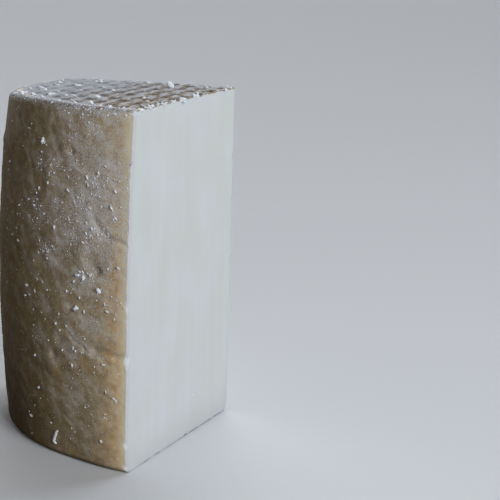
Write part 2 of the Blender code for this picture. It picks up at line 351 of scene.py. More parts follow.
def add_node(tree, kind, inputs, output=0, stops=(), **settings):
    """Adds a node with its settings, its inputs' values or links and a ramp's stops.

    Returns the output asked for, ready to link."""
    node = tree.nodes.new(kind)
    for name, value in settings.items():
        setattr(node, name, value)
    set_inputs(tree, node, inputs)
    if stops:
        node.color_ramp.elements.remove(node.color_ramp.elements[1])
        node.color_ramp.elements[0].position = stops[0][0]
        node.color_ramp.elements[0].color = linear(stops[0][1])
    for position, colour in stops[1:]:
        node.color_ramp.elements.new(position).color = linear(colour)
    return node.outputs[output]


# Oiled natural rind: waxy brown skin with a dull sheen, greyer where a dry bloom and smeared
# curd lie on it. Beside the cuts it is straw-coloured: painted glow, the light that would pass
# through the thin rind from the pale curd, painted into its colour.
rind, tree, shader = new_material("oiled_natural_rind")
place = add_node(tree, "ShaderNodeTexCoord", {}, "Object")
bloom_and_painted_light, oil_and_painted_shade, smear, hollow_mm, print_and_rim_shade, furrow_and_rim_shade_mm, to_cut_mm, bare_zone, dusted, chipped = (
    add_node(tree, "ShaderNodeAttribute", {}, "Fac", attribute_name=name)
    for name in (
        "bloom_and_painted_light", "oil_and_painted_shade", "smear", "hollow_mm", "print_and_rim_shade", "furrow_and_rim_shade_mm", "to_cut_mm",
        "bare_zone", "dusted", "chipped"))
# Each pattern by the size in mm of what it stands for. The dust is that which is too fine for
# crumbs of its own, drawn four times as coarse as its real 0.1 mm.
patches, blotches, mottle, specks, dust_cells = (
    add_node(
        tree, "ShaderNodeTexNoise",
        {"Vector": place, "Scale": 1 / (size * MM), "Detail": detail})
    for size, detail in ((14, 4.0), (6, 3.0), (2.4, 4.0), (0.7, 3.0), (0.45, 1.0)))
oiled, oiled_mottle, bloomed, ochre, speckle = (
    add_node(tree, "ShaderNodeValToRGB", {"Fac": pattern}, stops=stops)
    for pattern, stops in (
        (patches, ((0.32, "#846c43"), (0.50, "#8c754b"), (0.68, "#977e52"))),
        (mottle, ((0.35, "#6b5530"), (0.66, "#ad986a"))),
        (mottle, ((0.35, "#ae987c"), (0.66, "#c5b69f"))),
        (mottle, ((0.36, "#d1a878"), (0.62, "#e2c79b"))),
        (specks, ((0.36, "#a5a199"), (0.64, "#d2d1ce")))))

# Straws of the mat, 0.8 mm thick, left fine lines along the rows of its print. The crests are
# dusty and blue-grey, the blue-grey partly a painted reflection of cool light; the furrows are
# brown and darker the deeper they go, partly painted shade; the rows next to the knife are
# rubbed bare.
along_rows = add_node(tree, "ShaderNodeMapping", {"Vector": place, "Scale": (1.0, 0.12, 0.4)})
straws = add_node(
    tree, "ShaderNodeTexNoise", {"Vector": along_rows, "Scale": 1 / (0.8 * MM), "Detail": 3.0})
across = add_node(tree, "ShaderNodeSeparateXYZ", {"Vector": place}, "X")
bare = add_node(
    tree, "ShaderNodeMath", {0: patches, 1: 2.0, 2: bare_zone}, operation="MULTIPLY_ADD")

# Strengths that follow a pattern or a distance in mm: where from, where to, and how strong.
(bare_spots, broken, in_hollow, on_ridge, straw_depth, kept_dust_and_sheen, bare, straw_line, reach,
 painted_edge_glow, burr, dust_limit, roughness) = (
    add_node(tree, "ShaderNodeMapRange", {"Value": value, 1: start, 2: end, 3: low, 4: high})
    for value, start, end, low, high in (
        (patches, 0.50, 0.70, 0.0, 0.4),  # where bloom is rubbed off
        (mottle, 0.35, 0.65, 0.55, 1.25),  # smears are broken up
        (hollow_mm, 0.12, 0.70, 0.0, 0.6),  # old oil in pits and wrinkles
        (hollow_mm, -0.12, -0.55, 0.0, 0.28),  # what stands up is rubbed paler
        (straws, 0.35, 0.65, -0.30, 0.34),
        # dust on the crests, its blue-grey partly a painted reflection of cool light
        (across, 26 * MM, -8 * MM, 0.0, 0.62),  # dust kept away from the knife
        (bare, 1.3, 1.95, 0.0, 0.9),
        (straws, 0.50, 0.57, 0.15, 1.0),
        # painted glow: how far the light through the rind is painted beside the cuts
        (blotches, 0.3, 0.7, 7.0, 16.0),  # how far the curd glows through
        # painted glow: the brightest straw band, on the very edge
        (to_cut_mm, 0.9, 4.2, 0.9, 0.0),
        (to_cut_mm, 0.2, 1.3, 0.85, 0.0),  # the milky burr on the very edge
        (dusted, 0.0, 1.0, 0.76, 0.53),
        (mottle, 0.3, 0.7, 0.50, 0.68)))
straw_depth = add_node(tree, "ShaderNodeMath", {0: furrow_and_rim_shade_mm, 1: straw_depth}, operation="ADD")
# The print's colour by depth: darker down the furrows, partly painted shade; the blue-grey crests
# partly a painted reflection.
print_and_painted_light, bare_crest = (
    add_node(tree, "ShaderNodeValToRGB", {"Fac": straw_depth}, stops=stops)
    for stops in (
        ((0.02, "#9da1aa"), (0.16, "#918b86"), (0.34, "#735c3b"), (0.64, "#3f311b"),
         (0.95, "#66512f")),
        ((0.00, "#c9a75c"), (0.18, "#8d7040"), (0.50, "#3d2e16"))))

# The painted glow beside the cuts, light through the rind painted into its colour, ends in a
# ragged line, and stops short of the print and of the painted shade on the rim.
off_print, unsmeared = (
    add_node(tree, "ShaderNodeMath", {0: 1.0, 1: over}, operation="SUBTRACT", use_clamp=True)
    for over in (print_and_rim_shade, add_node(
        tree, "ShaderNodeMath", {0: smear, 1: broken}, operation="MULTIPLY")))
painted_glow = add_node(tree, "ShaderNodeMath", {0: to_cut_mm, 1: reach}, operation="DIVIDE")
painted_glow = add_node(tree, "ShaderNodeMapRange", {"Value": painted_glow, 1: 0.25, 2: 1.0, 3: 0.9, 4: 0.0})
painted_glow = add_node(tree, "ShaderNodeMath", {0: painted_glow, 1: unsmeared}, operation="MULTIPLY")
smear, bare, painted_glow, painted_edge_glow, burr, straw_height = (
    add_node(tree, "ShaderNodeMath", {0: first, 1: second}, operation="MULTIPLY")
    for first, second in (
        (smear, broken), (bare, straw_line), (painted_glow, off_print), (painted_edge_glow, off_print),
        (burr, off_print), (straws, print_and_rim_shade)))

# Dust lies where its pattern is above the limit, more of it in the furrows' shelter.
dust_limit = add_node(
    tree, "ShaderNodeMath", {0: furrow_and_rim_shade_mm, 1: 0.16, 2: dust_limit}, operation="MULTIPLY_ADD")
dust = add_node(tree, "ShaderNodeMath", {0: dust_cells, 1: dust_limit}, operation="SUBTRACT")
dust = add_node(tree, "ShaderNodeMapRange", {"Value": dust, 1: 0.0, 2: 0.05, 3: 0.0, 4: 0.8})

# The skin's layers, from the lowest: how much of each shows, its colour and how it goes on.
bloomed, print_and_painted_light = (
    add_node(tree, "ShaderNodeMix", {0: share, 6: under, 7: over}, 2, data_type="RGBA")
    for share, under, over in (
        (bare_spots, bloomed, "#b0905f"), (kept_dust_and_sheen, print_and_painted_light, "#7b8390")))
print_and_painted_light = add_node(
    tree, "ShaderNodeMix", {0: bare, 6: print_and_painted_light, 7: bare_crest}, 2, data_type="RGBA")
skin = oiled
for share, colour, blend in (
    (0.25, oiled_mottle, "MIX"),
    # bloom, paler up the side by painted light
    (bloom_and_painted_light, bloomed, "MIX"),
    # darker foot: oil and painted shade
    (oil_and_painted_shade, "#453317", "MIX"),
    (smear, "#d2c9bf", "MIX"),
    (in_hollow, "#574529", "MIX"),
    (on_ridge, "#bcb2a2", "MIX"),
    (0.4, speckle, "OVERLAY"),
    # print, and on the side's rim the painted rim shade
    (print_and_rim_shade, print_and_painted_light, "MIX"),
    # painted glow: light through the thin rind beside the cuts, painted into its colour
    (painted_glow, ochre, "MIX"),
    (painted_edge_glow, "#e7d6b0", "MIX"),
    (burr, "#d3d0cc", "MIX"),
    (dust, "#d0d0d6", "MIX"),
    (chipped, "#dcdcdc", "MIX"),
):
    skin = add_node(
        tree, "ShaderNodeMix", {0: share, 6: skin, 7: colour}, 2, data_type="RGBA",
        blend_type=blend)
skin_height = add_node(tree, "ShaderNodeMath", {0: specks, 1: dust}, operation="ADD")
skin_height = add_node(
    tree, "ShaderNodeMath", {0: straw_height, 1: 4.0, 2: skin_height},
    operation="MULTIPLY_ADD")
set_inputs(tree, shader, {
    "Base Color": skin,
    "Roughness": roughness,
    "IOR": 1.45,
    "Specular IOR Level": 0.25,
    "Subsurface Weight": 0.10,
    "Subsurface Radius": (1.4, 1.0, 0.7),
    "Subsurface Scale": 1 * MM,
    "Normal": add_node(tree, "ShaderNodeBump", {
        "Height": skin_height, "Distance": 0.13 * MM, "Strength": 0.55}),
})

# ------------------------------------------------------------
# The cut faces: pressed curd, close and pale, laid open by one pull of a long knife, which
# leaves it smooth, a little hollow, with faint drag lines down it and crumbly edges.
CUT_HOLLOW = 0.25 * MM
DRAG_DEPTH = 0.05 * MM


def cut_face(edge_column, base_edge, top_edge, facing):
    """A grid over a cut face, from the nose to the rind and from the base to the top."""
    reach = np.hypot(edge_column[:, 0], edge_column[:, 1])
    r = reach[:, None] * shares
    up = (edge_column[:, 2] / edge_column[-1, 2])[:, None]
    z = base_edge[:, 2] + up * (top_edge[:, 2] - base_edge[:, 2])
    from_edges = eased(r, 0, 12) * eased(reach[:, None] - r, 0, 12)
    from_ends = eased(z, 0, 15) * eased(HEIGHT - z, 0, 15)
    ripple = 0.7 + 0.3 * np.sin(r / (9 * MM)) * np.cos(z / (21 * MM))
    drag = noise_at(flat(r, 0.1 * z), 2.6 * MM, 2, 7.1)
    hollow = -CUT_HOLLOW * from_edges * from_ends * ripple
    hollow = hollow - DRAG_DEPTH * np.abs(drag) * smooth(from_edges * 6)
    if facing == "X":
        return np.stack([hollow, -r, z], -1)
    return np.stack([-r, hollow, z], -1)


front = cut_face(side[:, 0], base[:, 0], top[:, 0], "X")
back = cut_face(side[:, -1], base[0, :], top[0, :], "Y")

# Cut sheep's milk curd: close, milky and a little moist, so light goes into it, with a
# whiter burr where the knife dragged it at the edges and a thin brown line of rind on top.
curd, tree, shader = new_material("cut_sheeps_milk_curd")
place = add_node(tree, "ShaderNodeTexCoord", {}, "Object")
inside_mm, to_rind_mm, below_top_mm = (
    add_node(tree, "ShaderNodeAttribute", {}, "Fac", attribute_name=name)
    for name in ("inside_mm", "to_rind_mm", "below_top_mm"))
drawn_down = add_node(tree, "ShaderNodeMapping", {"Vector": place, "Scale": (1.0, 1.0, 0.09)})
streaks, clouds, ragged, curd_grain = (
    add_node(
        tree, "ShaderNodeTexNoise",
        {"Vector": where, "Scale": 1 / (size * MM), "Detail": detail})
    for where, size, detail in (
        (drawn_down, 4.5, 4.0), (place, 22, 3.0), (place, 1.6, 3.0), (place, 0.6, 3.0)))
edge_width, rind_depth, from_rind, very_edge, at_foot = (
    add_node(tree, "ShaderNodeMapRange", {"Value": value, 1: start, 2: end, 3: low, 4: high})
    for value, start, end, low, high in (
        (clouds, 0.3, 0.7, 1.5, 4.5),  # the burr's width in mm
        (ragged, 0.36, 0.62, 0.28, 0.80),  # the rind's thickness in mm
        (to_rind_mm, 0.0, 80.0, 0.0, 1.0),
        (inside_mm, 0.1, 0.8, 0.4, 0.0),
        (below_top_mm, 108.0, 119.0, 0.0, 0.32)))
burr, rind_line = (
    add_node(tree, "ShaderNodeMath", {0: distance, 1: width}, operation="DIVIDE")
    for distance, width in ((inside_mm, edge_width), (below_top_mm, rind_depth)))
body, cloudy, heart, rind_tone = (
    add_node(tree, "ShaderNodeValToRGB", {"Fac": pattern}, stops=stops)
    for pattern, stops in (
        (streaks, ((0.33, "#ecede8"), (0.67, "#f1f3ef"))),
        (clouds, ((0.38, "#ebede4"), (0.62, "#f0f3f4"))),
        (from_rind, (
            (0.0, "#ebe3df"), (0.010, "#f0ebe9"), (0.020, "#f8f6f6"), (0.032, "#fafafa"),
            (1.0, "#ffffff"))),
        (rind_line, ((0.15, "#6a4f2c"), (0.55, "#94733a"), (0.85, "#bfae79")))))
burr = add_node(tree, "ShaderNodeMapRange", {"Value": burr, 1: 0.3, 2: 1.0, 3: 0.7, 4: 0.0})
rind_line = add_node(
    tree, "ShaderNodeMapRange", {"Value": rind_line, 1: 0.75, 2: 1.2, 3: 0.9, 4: 0.0})
for share, colour, blend in (
    (0.5, cloudy, "MIX"),
    (burr, "#eceff2", "MIX"),
    (1.0, heart, "MULTIPLY"),
    (very_edge, "#d3d3d4", "MIX"),
    (at_foot, "#cdc5c6", "MIX"),
    (rind_line, rind_tone, "MIX"),
):
    body = add_node(
        tree, "ShaderNodeMix", {0: share, 6: body, 7: colour}, 2, data_type="RGBA",
        blend_type=blend)
curd_height = add_node(
    tree, "ShaderNodeMath", {0: streaks, 1: 2.5, 2: curd_grain}, operation="MULTIPLY_ADD")
set_inputs(tree, shader, {
    "Base Color": body,
    "Roughness": 0.45,
    "IOR": 1.46,
    "Subsurface Weight": 0.3,
    "Subsurface Radius": (3.0, 2.4, 1.9),
    "Subsurface Scale": 1 * MM,
    "Normal": add_node(tree, "ShaderNodeBump", {
        "Height": curd_height, "Distance": 0.05 * MM, "Strength": 0.6}),
})

# ------------------------------------------------------------
# The wedge, one closed piece: rind on its side, top and base, curd on its two cut faces, and
# all its cut edges crumbled a little where the knife left them.
NOSE = Vector((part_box("cheese_wedge")[1].x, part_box("cheese_wedge")[1].y, 0))
RINGS = len(shares) - 1
EDGE_WEAR = 0.32 * MM
CRUMBLED = 0.4 * MM
DEEP_CRUMBLED = 2.2 * MM
NOSE_FOOT_WEAR = 2.4 * MM
# Chips out of the front edge, in mm: height, half length and width.
CHIPS = ((77, 0.9, 0.8), (39.5, 1.5, 1.4), (10, 1.2, 1.4), (2, 1.0, 1.2), (101, 0.9, 0.6))
ROUGH_WIDTH = 1.5 * MM
all_points = np.zeros((0, 3))


def new_piece(name, corners, faces):
    """A piece of the scene, made of its corners and faces."""
    data = bpy.data.meshes.new(name)
    data.from_pydata(np.array(corners).tolist(), [], faces)
    data.update()
    piece = bpy.data.objects.new(name, data)
    bpy.context.scene.collection.objects.link(piece)
    return piece


def number(grid, **known):
    """Numbers a grid's points and keeps them, apart from those that a neighbour shares."""
    global all_points
    ids = np.full(grid.shape[:2], -1)
    edges = {
        "first_row": ids[0, :], "last_row": ids[-1, :],
        "first_column": ids[:, 0], "last_column": ids[:, -1]}
    for edge, shared in known.items():
        edges[edge][:] = shared
    fresh = ids < 0
    ids[fresh] = len(all_points) + np.arange(fresh.sum())
    all_points = np.concatenate([all_points, grid[fresh]])
    return ids


def quads(ids, flip=False):
    """Faces over a numbered grid."""
    corners = [ids[:-1, :-1], ids[1:, :-1], ids[1:, 1:], ids[:-1, 1:]]
    if flip:
        corners.reverse()
    return np.stack(corners, -1).reshape(-1, 4)


side_ids = number(side)
top_ids = number(
    top, last_row=side_ids[-1, : RINGS + 1], last_column=side_ids[-1, : RINGS - 1 : -1])
base_ids = number(
    base, last_row=side_ids[0, : RINGS + 1], last_column=side_ids[0, : RINGS - 1 : -1])
front_ids = number(
    front, last_column=side_ids[:, 0], last_row=top_ids[:, 0], first_row=base_ids[:, 0])
back_ids = number(
    back, last_column=side_ids[:, -1], last_row=top_ids[0, :], first_row=base_ids[0, :],
    first_column=front_ids[:, 0])
rind_faces = np.concatenate([quads(side_ids), quads(top_ids), quads(base_ids, flip=True)])
curd_faces = np.concatenate([quads(front_ids, flip=True), quads(back_ids)])

faces = np.concatenate([rind_faces, curd_faces])
wedge = new_piece("cheese_wedge_surface", all_points + np.array(NOSE), faces.tolist())
wedge_data = wedge.data
wedge_data.polygons.foreach_set("material_index", np.arange(len(faces)) >= len(rind_faces))
wedge_data.materials.append(rind)
wedge_data.materials.append(curd)
wedge_data.update()

POINTS = len(all_points)
inside = np.zeros(POINTS)
below_top = np.full(POINTS, 99.0)
to_rind = np.zeros(POINTS)
on_curd = np.zeros(POINTS, bool)
cut_edges = []
for ids, toward_nose, inward in (
    (front_ids, (0, 1, 0), (-1, 0, 0)), (back_ids, (1, 0, 0), (0, -1, 0)),
):
    face = all_points[ids]
    r = np.hypot(face[..., 0], face[..., 1])
    to_rind[ids] = r[:, -1:] - r
    below_top[ids] = face[-1:, :, 2] - face[..., 2]
    above_base = face[..., 2] - face[:1, :, 2]
    inside[ids] = np.min([to_rind[ids], r, below_top[ids], above_base], axis=0)
    on_curd[ids[1:-1, 1:-1]] = True
    for distance, away in (
        (to_rind[ids], toward_nose), (r, -np.array(toward_nose)),
        (below_top[ids], (0, 0, -1)), (above_base, (0, 0, 1)),
    ):
        cut_edges.append((ids[1:-1, 1:-1], distance[1:-1, 1:-1], away, inward))
to_cut = np.maximum(np.minimum(-all_points[:, 0], -all_points[:, 1]), 0)
to_edge = np.where(on_curd, inside, to_cut)


# The knife crumbles the edges: each is rounded over a little, unevenly, and chipped here and
# there. A point at a distance from its edge goes to its place on the rounding.
def worn_radius(points):
    """Radius of the rounding at the cut edges near each point."""
    radius = EDGE_WEAR + 0.05 * MM * eased(points[:, 2] - HEIGHT, -3, 2)
    radius = radius + CRUMBLED * np.abs(noise_at(points, 2.2 * MM, 3, 4.4))
    deep = np.maximum(noise_at(points, 5 * MM, 2, 7.7) - 0.32, 0)
    radius = radius + DEEP_CRUMBLED * deep
    radius = radius + NOSE_FOOT_WEAR * hump(np.linalg.norm(points, axis=1), 2.2 * MM)
    at_front = np.hypot(points[:, 0], points[:, 1] + BASE_RADIUS) < 8 * MM
    for chip_height, half_length, width in np.array(CHIPS) * MM:
        off = np.abs(points[:, 2] - chip_height)
        radius = radius + at_front * width * hump(off, half_length)
    return radius


def round_over(ids, distance, along, inward):
    """Moves a face's points near an edge onto the rounding: along the face and into it."""
    ids, distance = ids.ravel(), distance.ravel()
    near = distance < 6 * MM
    ids, distance = ids[near], distance[near]
    along = np.broadcast_to(along, (len(near), 3))[near]
    inward = np.broadcast_to(inward, (len(near), 3))[near]
    radius = worn_radius(all_points[ids])
    turn = np.pi / 4 * np.clip(1 - distance / radius, 0, 1)
    on_rounding = distance < radius
    slide = on_rounding * (radius * (1 - np.sin(turn)) - distance)
    sink = on_rounding * radius * (1 - np.cos(turn))
    moved[ids] += slide[:, None] * along + sink[:, None] * inward
    worn[ids] = np.maximum(worn[ids], sink)


moved = all_points.copy()
worn = np.zeros(POINTS)
up_side = np.gradient(side, axis=0)
round_side = np.gradient(side, axis=1)
side_inward = np.cross(up_side, round_side)
side_inward = side_inward / np.linalg.norm(side_inward, axis=-1, keepdims=True)
side_inward = side_inward * np.sign(np.sum(side_inward * -side, axis=-1, keepdims=True))
side_inward = side_inward.reshape(-1, 3)
for axis in (0, 1):
    away = -np.eye(3)[axis]
    round_over(side_ids, -side[..., axis], away, side_inward)
    round_over(top_ids[:-1, :-1], -top[:-1, :-1, axis], away, (0, 0, -1))
    round_over(base_ids[:-1, :-1], -base[:-1, :-1, axis], away, (0, 0, 1))
for edge in cut_edges:
    round_over(*edge)
moved[front_ids[:, 0], :2] -= 0.29 * worn_radius(all_points[front_ids[:, 0]])[:, None]
crumbled = np.flatnonzero(to_edge < ROUGH_WIDTH)
roughness = noise_at(all_points[crumbled], 0.7 * MM, 2, 1.9)
fading = smooth(1 - to_edge[crumbled] / ROUGH_WIDTH)
from_heart = (all_points[crumbled] - np.array((-30, -30, 60)) * MM) / (60 * MM)
moved[crumbled] += (0.10 * MM * np.minimum(roughness, 0) * fading)[:, None] * from_heart
moved[:, :2] = np.minimum(moved[:, :2], 0)
moved[:, 2] = np.clip(moved[:, 2], 0, HEIGHT + DOME)
wedge_data.vertices.foreach_set("co", (moved + np.array(NOSE)).ravel())
wedge_data.update()
normals = np.zeros(POINTS * 3)
wedge_data.vertex_normals.foreach_get("vector", normals)
normals = normals.reshape(-1, 3)
chipped = smooth((worn - 0.14 * MM) / (0.16 * MM)) * (all_points[:, 2] > 1 * MM)


def bell(value, middle, width):
    """A bell of height 1 round a middle, both in mm."""
    return np.exp(-((value - middle * MM) / (width * MM)) ** 2)


def away_from_cuts(along):
    """1 round the middle of the rim, down to 0 towards both cuts."""
    return eased(along, 42, 30) * (1 - eased(along, 94, 14))


# What the finishes follow, point by point. On the rind it goes by the distance along it from
# either cut and by the height.
from_back_cut = turns[-1] * WAIST_RADIUS - along_grid
top_along = np.arctan2(-top_x, -top_y) * WAIST_RADIUS
down_slope = flat(0.65 * along_grid - height_grid, 0.45 * (along_grid + 0.65 * height_grid))
drifts = noise_at(flat(along_grid, height_grid), 13 * MM, 3, 6.6)
hollow, bloom_and_painted_light, oil_and_painted_shade, smear, furrow_and_rim_shade, print_and_rim_shade, bare_zone, dusted = np.zeros((8, POINTS))
hollow[side_ids] = -(fine + 0.6 * (relief - fine))

# Bloom is thickest by the cuts and lies in drifts round the back. Its rise up the side and
# under the top, most at the far left, is painted light: the upper side drawn paler where more
# light falls.
near_cuts = bell(along_grid, 0, 34.5) + 0.95 * bell(from_back_cut, 0, 36)
painted_light_upward = 0.60 + 0.42 * eased(height_grid, 22, 72)
painted_light_under_top = 0.14 * eased(height_grid, 55, 40) + 0.68 * eased(height_grid, 98, 18)
painted_light_under_top = painted_light_under_top * eased(along_grid, 40, 30)
drifting = 0.12 + 0.38 * eased(along_grid, 84, 18)
bloom_and_painted_light[side_ids] = np.clip(near_cuts * painted_light_upward + painted_light_under_top + drifting * drifts, 0.04, 1)
bloom_and_painted_light[side_ids] *= 1 - 0.35 * eased(height_grid, 112, 5) * eased(along_grid, 70, 25)
bloom_and_painted_light[top_ids] = 0.35 + 0.35 * eased(top_along, 56, 30)

# The foot is darker, most away from the front cut: partly oil, partly painted shade where
# little light reaches the foot. Curd is smeared where the knife and the hands came by.
oil_and_painted_shade[side_ids] = 0.74 * (1 - eased(height_grid, 0, 64)) * eased(along_grid, 20, 46)
oil_and_painted_shade[side_ids] *= eased(from_back_cut, 0, 40)
smear_room = 0.15 + 0.85 * bell(along_grid, 22, 26) + 0.6 * bell(from_back_cut, 18, 20)
smear_room = smear_room * (0.35 + 0.65 * eased(height_grid, 0, 45))
smears = np.clip(0.14 + 0.9 * noise_at(down_slope, 4.5 * MM, 3, 5.2), 0, 0.6)
milky = 0.44 * bell(along_grid, 0, 15) * eased(height_grid, 62, 32)
milky += 0.14 * bell(along_grid, 30, 24) * bell(height_grid, 88, 18)
smear[side_ids] = smears * smear_room + milky

# The print fades out over the rims, and is bare by the front cut. On the side, print colour
# and a shallow print depth over the top rim are painted shade that dulls the lit rim.
furrow_and_rim_shade[top_ids] = top_print * (1 + 0.6 * pressed)
furrow_and_rim_shade[base_ids] = base_print * PRINT_DEPTH / BASE_PRINT_DEPTH
from_rim = (radii[-1] - np.hypot(top_x, top_y)) / PRINT_MARGIN
print_and_rim_shade[top_ids] = smooth(from_rim + 0.6 - 0.5 * away_from_cuts(top_along))
from_rim = (radii[0] - np.hypot(base_x, base_y)) / PRINT_MARGIN
print_and_rim_shade[base_ids] = smooth(from_rim + 0.25)
# Painted shade: print colour on the side's top 3 mm and over the rim's rounding, darker than the
# lit rim.
print_and_rim_shade[side_ids] = eased(height_grid - HEIGHT, -3, 3) * (0.34 - 0.28 * away_from_cuts(along_grid))
painted_rim_shade = eased(height_grid, 118.3, 1.3)
print_and_rim_shade[side_ids] = np.maximum(print_and_rim_shade[side_ids], 0.85 * painted_rim_shade)
furrow_and_rim_shade[side_ids] = np.maximum(furrow_and_rim_shade[side_ids], 0.20 * MM * painted_rim_shade)
bare_reach = 8 * MM + 13 * MM * eased(-top_y, 38, 28)
bare_zone[top_ids] = smooth(1 + top_x / bare_reach)

# Dust lies in a band near the cuts, and the painted glow of the curd stays off the top.
dust_band = 0.25 + 0.75 * bell(height_grid, 88, 34)
dust_share = 0.12 + bell(along_grid, 0, 40) + 0.7 * bell(from_back_cut, 0, 28)
dusted[side_ids] = np.clip(dust_share * dust_band + 0.25 * drifts, 0, 1)
dusted[top_ids] = 0.08 + 0.14 * eased(-top_x, 20, 35)
# Where the painted glow reaches: kept off the top, and off the side's upper edge at the far left.
painted_glow_from = to_cut.copy()
painted_glow_from[top_ids] = np.maximum(to_cut[top_ids], 20 * MM)
painted_glow_from[side_ids] += 14 * MM * eased(height_grid - HEIGHT, -6, 4) * eased(along_grid, 80, 20)
for name, values in (
    ("inside_mm", inside / MM), ("below_top_mm", below_top / MM), ("to_rind_mm", to_rind / MM),
    ("to_cut_mm", painted_glow_from / MM), ("hollow_mm", hollow / MM), ("furrow_and_rim_shade_mm", furrow_and_rim_shade / MM),
    ("bloom_and_painted_light", bloom_and_painted_light), ("oil_and_painted_shade", oil_and_painted_shade), ("smear", smear), ("print_and_rim_shade", print_and_rim_shade),
    ("bare_zone", bare_zone), ("dusted", dusted), ("chipped", chipped),
):
    layer = wedge_data.attributes.new(name, "FLOAT", "POINT")
    layer.data.foreach_set("value", values.astype(np.float32))

wedge_data.shade_smooth()
wedge_data.set_sharp_from_angle(angle=math.radians(50))
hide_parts("cheese_wedge")
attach(wedge, "root")

# ------------------------------------------------------------
# The dusting: dry white crumbs of the curd, from a fifth of a millimetre to one millimetre
# wide, that fell on the oily rind when the wheel was cut and stuck where they fell.
DUST_COUNT = 22000
DUST_SIZE = (0.045 * MM, 0.16 * MM)
CRUMB_COUNT = 2500
CRUMB_SIZE = (0.12 * MM, 0.40 * MM)
random = np.random.default_rng(7)


def lump_shapes(subdivisions, count, rough, lumps):
    """Uneven crumbs of about unit size, each of some lumps stuck together, and triangles."""
    template = bmesh.new()
    if subdivisions:
        bmesh.ops.create_icosphere(template, subdivisions=subdivisions, radius=1.0)
    else:
        bmesh.ops.create_uvsphere(template, u_segments=4, v_segments=2, radius=1.0)
    corners = np.array([vertex.co for vertex in template.verts])
    triangles = np.array([[vertex.index for vertex in face.verts] for face in template.faces])
    template.free()
    shapes = []
    for shape in range(count):
        parts = []
        for lump in range(lumps):
            swelling = 1 + rough * noise_at(corners, 0.8, 2, 3.0 * shape + 0.7 * lump)
            facets = random.uniform(1 - 0.4 * rough, 1 + 0.4 * rough, (len(corners), 1))
            stretch = random.uniform((0.8, 0.5, 0.4), (1.7, 1.0, 0.8))
            part = corners * swelling[:, None] * facets * stretch
            if lump:
                spin = Euler(tuple(random.uniform(0, 3, 3))).to_matrix()
                part = part @ np.array(spin) * random.uniform(0.4, 0.75)
                part = part + random.uniform((-1.1, -0.6, -0.2), (1.1, 0.6, 0.4))
            parts.append(part)
        shapes.append(np.concatenate(parts))
    offsets = len(corners) * np.arange(lumps)[:, None, None]
    return shapes, (triangles + offsets).reshape(-1, 3)


def scatter(name, spots, ups, sizes, shapes, triangles, sink):
    """One piece of many crumbs, each turned at random and sunk a little where it stuck."""
    corners = []
    for spot, up, size in zip(spots, ups, sizes):
        shape = shapes[random.integers(len(shapes))]
        spin = Euler((0, 0, random.uniform(0, 2 * math.pi))).to_matrix()
        tip = Euler((random.normal(0, 0.4), random.normal(0, 0.4), 0)).to_matrix()
        turn = np.array(Vector(up).to_track_quat("Z", "Y").to_matrix() @ tip @ spin)
        corners.append(shape @ turn.T * size + spot + up * size * sink)
    corners = np.concatenate(corners)
    corners[:, 2] = np.maximum(corners[:, 2], 0)
    offsets = len(shapes[0]) * np.arange(len(spots))[:, None, None]
    return new_piece(name, corners, (triangles + offsets).reshape(-1, 3).tolist())


# Dry curd crumbs: bright, matt and chalky, a little see-through at their edges.
dry_curd, tree, shader = new_material("dry_curd_crumb")
place = add_node(tree, "ShaderNodeTexCoord", {}, "Object")
tint, chalk = (
    add_node(
        tree, "ShaderNodeTexNoise", {"Vector": place, "Scale": 1 / (size * MM), "Detail": 2.0})
    for size in (3, 0.25))
set_inputs(tree, shader, {
    "Base Color": add_node(
        tree, "ShaderNodeValToRGB", {"Fac": tint}, stops=((0.35, "#e6e7eb"), (0.65, "#f5f6f9"))),
    "Roughness": 0.6,
    "IOR": 1.46,
    "Subsurface Weight": 0.45,
    "Subsurface Radius": (1.0, 0.9, 0.8),
    "Subsurface Scale": 0.5 * MM,
    "Normal": add_node(tree, "ShaderNodeBump", {
        "Height": chalk, "Distance": 0.05 * MM, "Strength": 0.7}),
})

# How thickly the crumbs fell on each face of the rind: most of them near the front cut and
# high up, along the rim, and at the very edge of the top where the knife went in.
rind_count = len(rind_faces)
areas = np.zeros(len(faces))
wedge_data.polygons.foreach_get("area", areas)
centres, face_ups = np.zeros((2, len(faces) * 3))
wedge_data.polygons.foreach_get("center", centres)
wedge_data.polygons.foreach_get("normal", face_ups)
centres = centres.reshape(-1, 3)[:rind_count]
face_ups = face_ups.reshape(-1, 3)[:rind_count]
from_axis = centres - np.array(NOSE)
from_rim = np.hypot(from_axis[:, 0], from_axis[:, 1]) - TOP_RADIUS
face_along = np.arctan2(-from_axis[:, 0], -from_axis[:, 1]) * WAIST_RADIUS
face_height = from_axis[:, 2]
on_top = face_ups[:, 2] > 0.6
on_side = np.abs(face_ups[:, 2]) <= 0.6
clumps = noise_at(centres, 9 * MM, 3, 9.3)
near_cuts = 0.08 + bell(face_along, 18, 25) + 0.45 * bell(face_along, 116, 16)
high_up = 0.16 + bell(face_height, 84, 27)
density = on_side * near_cuts * high_up * np.clip(0.6 + 2.4 * clumps, 0.05, 4)
left_rim = eased(from_rim, -9, 4) * eased(face_along, 38, 30)
across_top = (0.6 + 0.15 * eased(-from_axis[:, 0], 20, 30)) * (1 - 0.85 * left_rim)
density = density + on_top * across_top * np.clip(0.8 + 1.4 * clumps, 0.1, 3)
on_rim = eased(from_rim, -6, 3) * eased(face_height - HEIGHT, -4, 2)
density = density + on_rim * 2.3 * bell(face_along, 0, 34)
at_cut = np.maximum(from_axis[:, 0], from_axis[:, 1]) > -0.8 * MM
density = density + on_top * at_cut * (4 + 13 * eased(-from_axis[:, 1], 38, 14))
density = density * areas[:rind_count]
density = density / density.sum()


